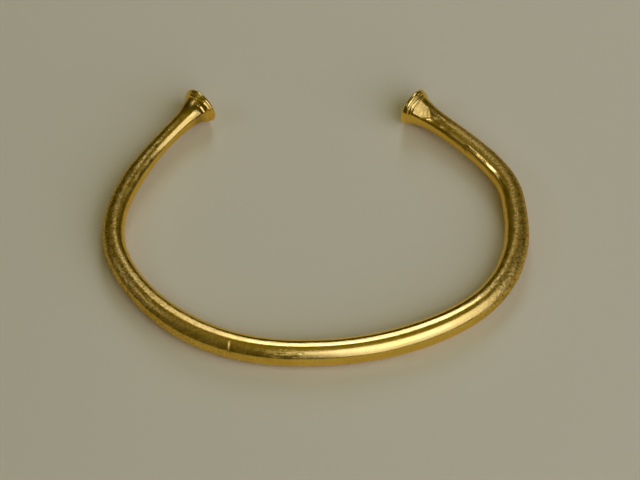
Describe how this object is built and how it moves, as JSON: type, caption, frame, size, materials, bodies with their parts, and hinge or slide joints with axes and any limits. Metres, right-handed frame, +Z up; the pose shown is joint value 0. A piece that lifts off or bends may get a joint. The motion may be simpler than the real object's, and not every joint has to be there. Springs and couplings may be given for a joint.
{
  "type": "penannular armlet",
  "caption": "Open C-shaped arm ring: a round hammered gold bar, thickest at the bow and tapering to trumpet-shaped terminals with a fine raised line behind each lip.",
  "frame": {"origin": "middle of the armlet's bounding box, at its underside, on the table", "axes": "+X across the widest part, +Y from the middle of the bow towards the open end with the terminals, +Z up from the table"},
  "size_m": [0.0798, 0.0592, 0.0072],
  "materials": {
    "gold": "hammered and worn gold alloy, softly polished with fine scratches and pits"
  },
  "bodies": {
    "root": {"armlet": "gold"}
  },
  "joints": []
}
